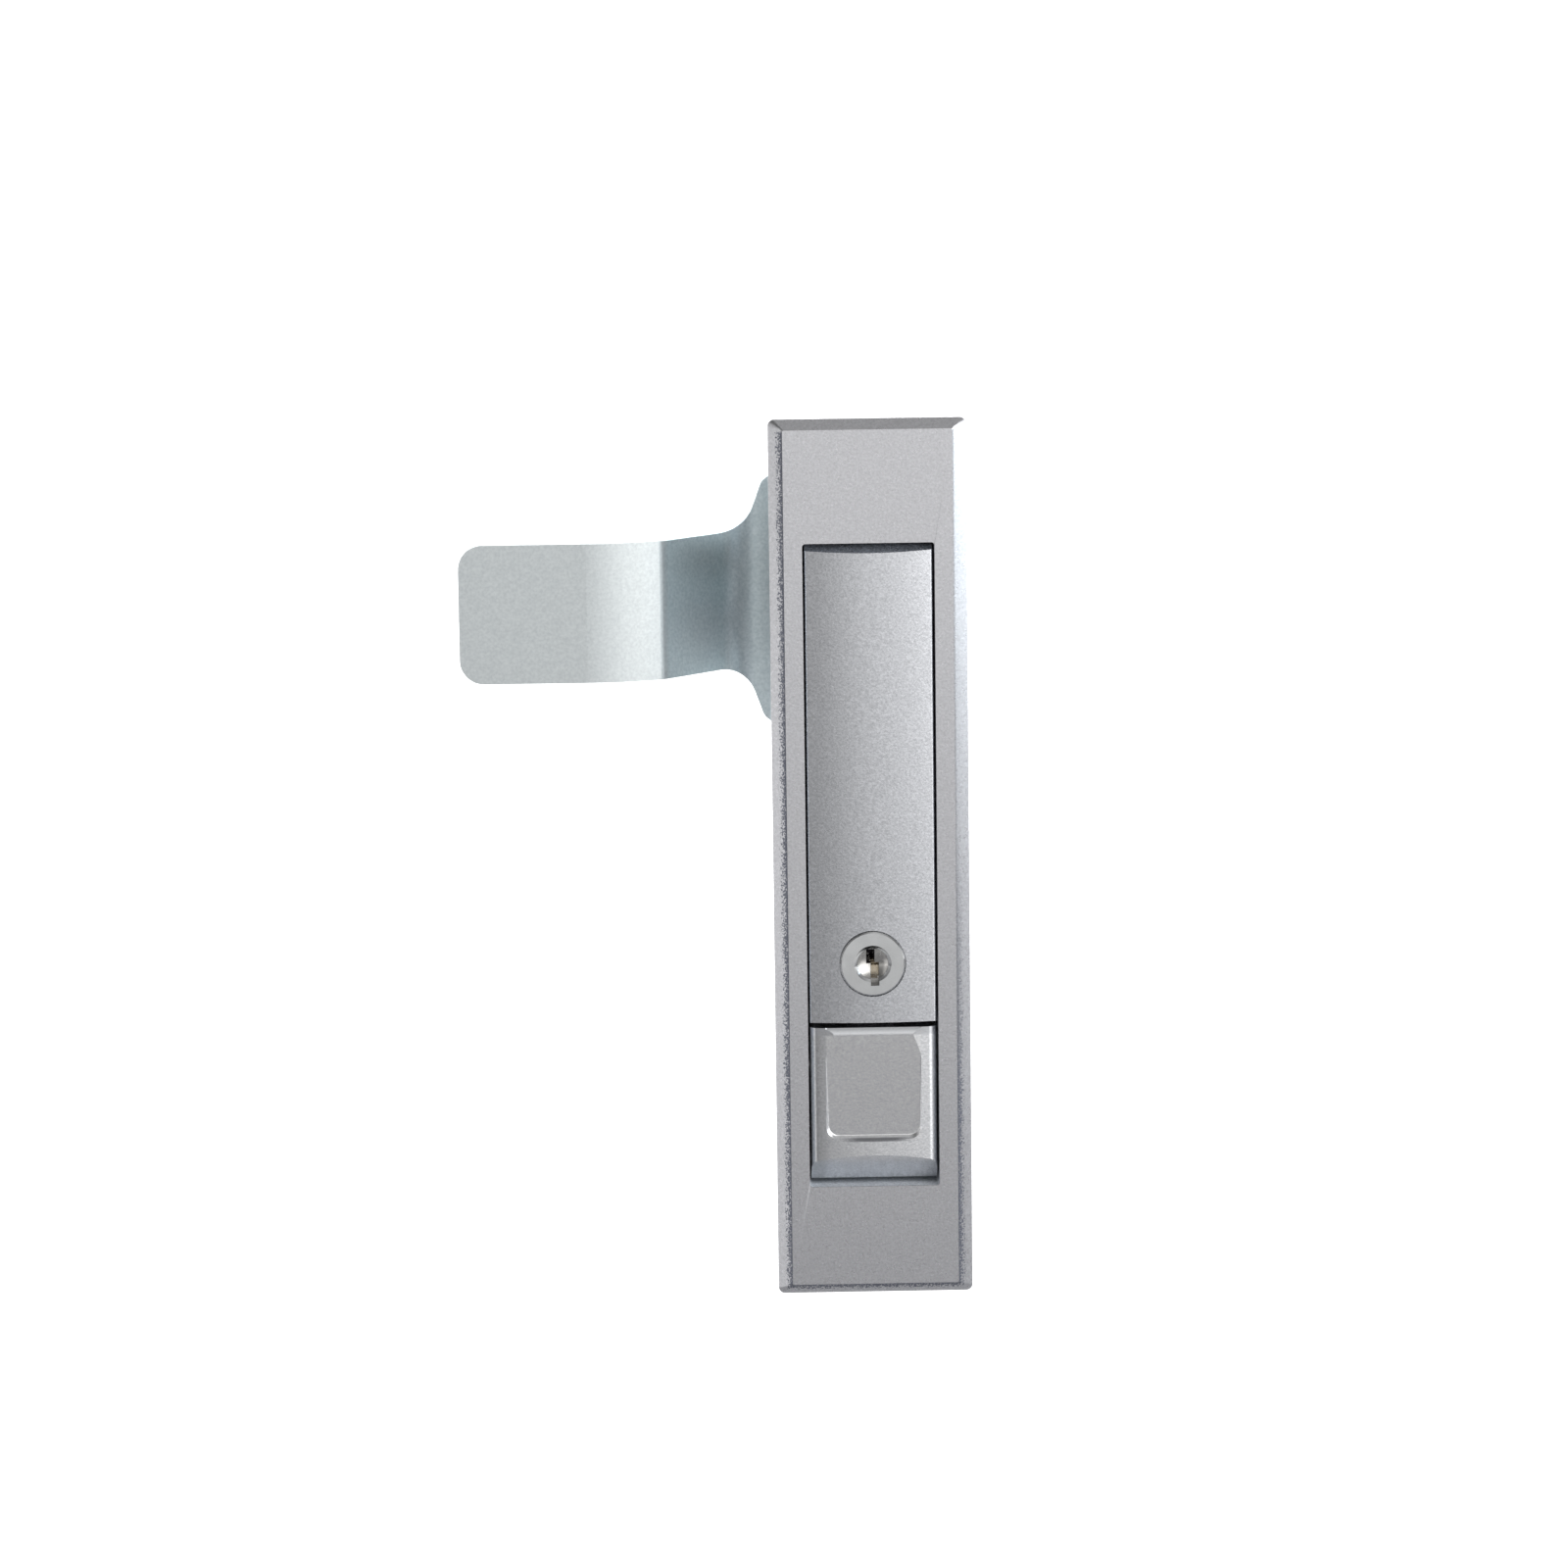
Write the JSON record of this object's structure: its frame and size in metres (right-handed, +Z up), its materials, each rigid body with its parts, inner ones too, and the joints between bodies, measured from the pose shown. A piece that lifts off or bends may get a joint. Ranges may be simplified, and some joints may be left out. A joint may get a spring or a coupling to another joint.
{
  "type": "flat cabinet lock",
  "caption": "Flush swing-handle cabinet lock with a push button, key cylinder, bevelled bezel and a joggled latch tongue turned by a square spindle.",
  "frame": {"origin": "middle of the bezel's back face, where it lies on the door", "axes": "+Z up the lock, along its length; -Y out of the door to the user; +X to the right seen from the user"},
  "size_m": [0.0935, 0.0424, 0.1634],
  "materials": {
    "satin_chrome_housing": "satin chrome on die-cast zinc",
    "satin_chrome_handle": "satin chrome on die-cast zinc",
    "satin_chrome_button": "satin chrome on die-cast zinc",
    "chrome_cylinder": "bright chrome",
    "cylinder_plug": "turned, plated",
    "brass_wafers": "stamped brass",
    "raw_zinc": "die-cast zinc, as cast",
    "bright_steel": "ground",
    "spring_steel": "spring wire, oiled",
    "plated_steel": "zinc plated, pressed",
    "plated_fasteners": "zinc plated",
    "zinc_plated_tongue": "bright zinc plated, pressed"
  },
  "bodies": {
    "housing": {"housing": "satin_chrome_housing", "hinge_head": "raw_zinc", "handle_spring": "spring_steel", "button_pin": "bright_steel", "button_spring": "spring_steel", "upper_bracket": "plated_steel", "lower_bracket": "plated_steel", "bracket_washers": "plated_fasteners", "bracket_screws": "plated_fasteners"},
    "handle": {"handle": "satin_chrome_handle", "hinge_pin": "bright_steel", "cylinder_barrel": "chrome_cylinder", "cylinder_clip": "spring_steel"},
    "key_plug": {"cylinder_plug": "cylinder_plug", "cylinder_wafers": "brass_wafers", "lock_pawl": "plated_steel", "pawl_screw": "plated_fasteners"},
    "push_button": {"push_button": "satin_chrome_button"},
    "tongue": {"spindle": "raw_zinc", "stop_washer": "plated_steel", "tongue": "zinc_plated_tongue", "tongue_washer": "plated_fasteners", "spring_washer": "spring_steel", "tongue_nut": "plated_fasteners"}
  },
  "joints": [
    {"name": "button_press", "type": "hinge", "parent": "housing", "child": "push_button", "pos_m": [0, 0.008, -0.04], "axis": [1, 0, 0], "range_deg": [0, 8], "stiffness_Nm_per_rad": 0.2, "springref_deg": -8.59, "deforming": ["button_spring"]},
    {"name": "handle_lift", "type": "hinge", "parent": "housing", "child": "handle", "pos_m": [0, 0.0022, 0.0456], "axis": [-1, 0, 0], "range_deg": [0, 30], "deforming": ["handle_spring"]},
    {"name": "key_turn", "type": "hinge", "parent": "handle", "child": "key_plug", "pos_m": [0, 0, -0.019], "axis": [0, 1, 0], "range_deg": [0, 90]},
    {"name": "spindle_turn", "type": "hinge", "parent": "housing", "child": "tongue", "pos_m": [0, 0.02, 0.0456], "axis": [0, 1, 0], "range_deg": [0, 90]}
  ]
}
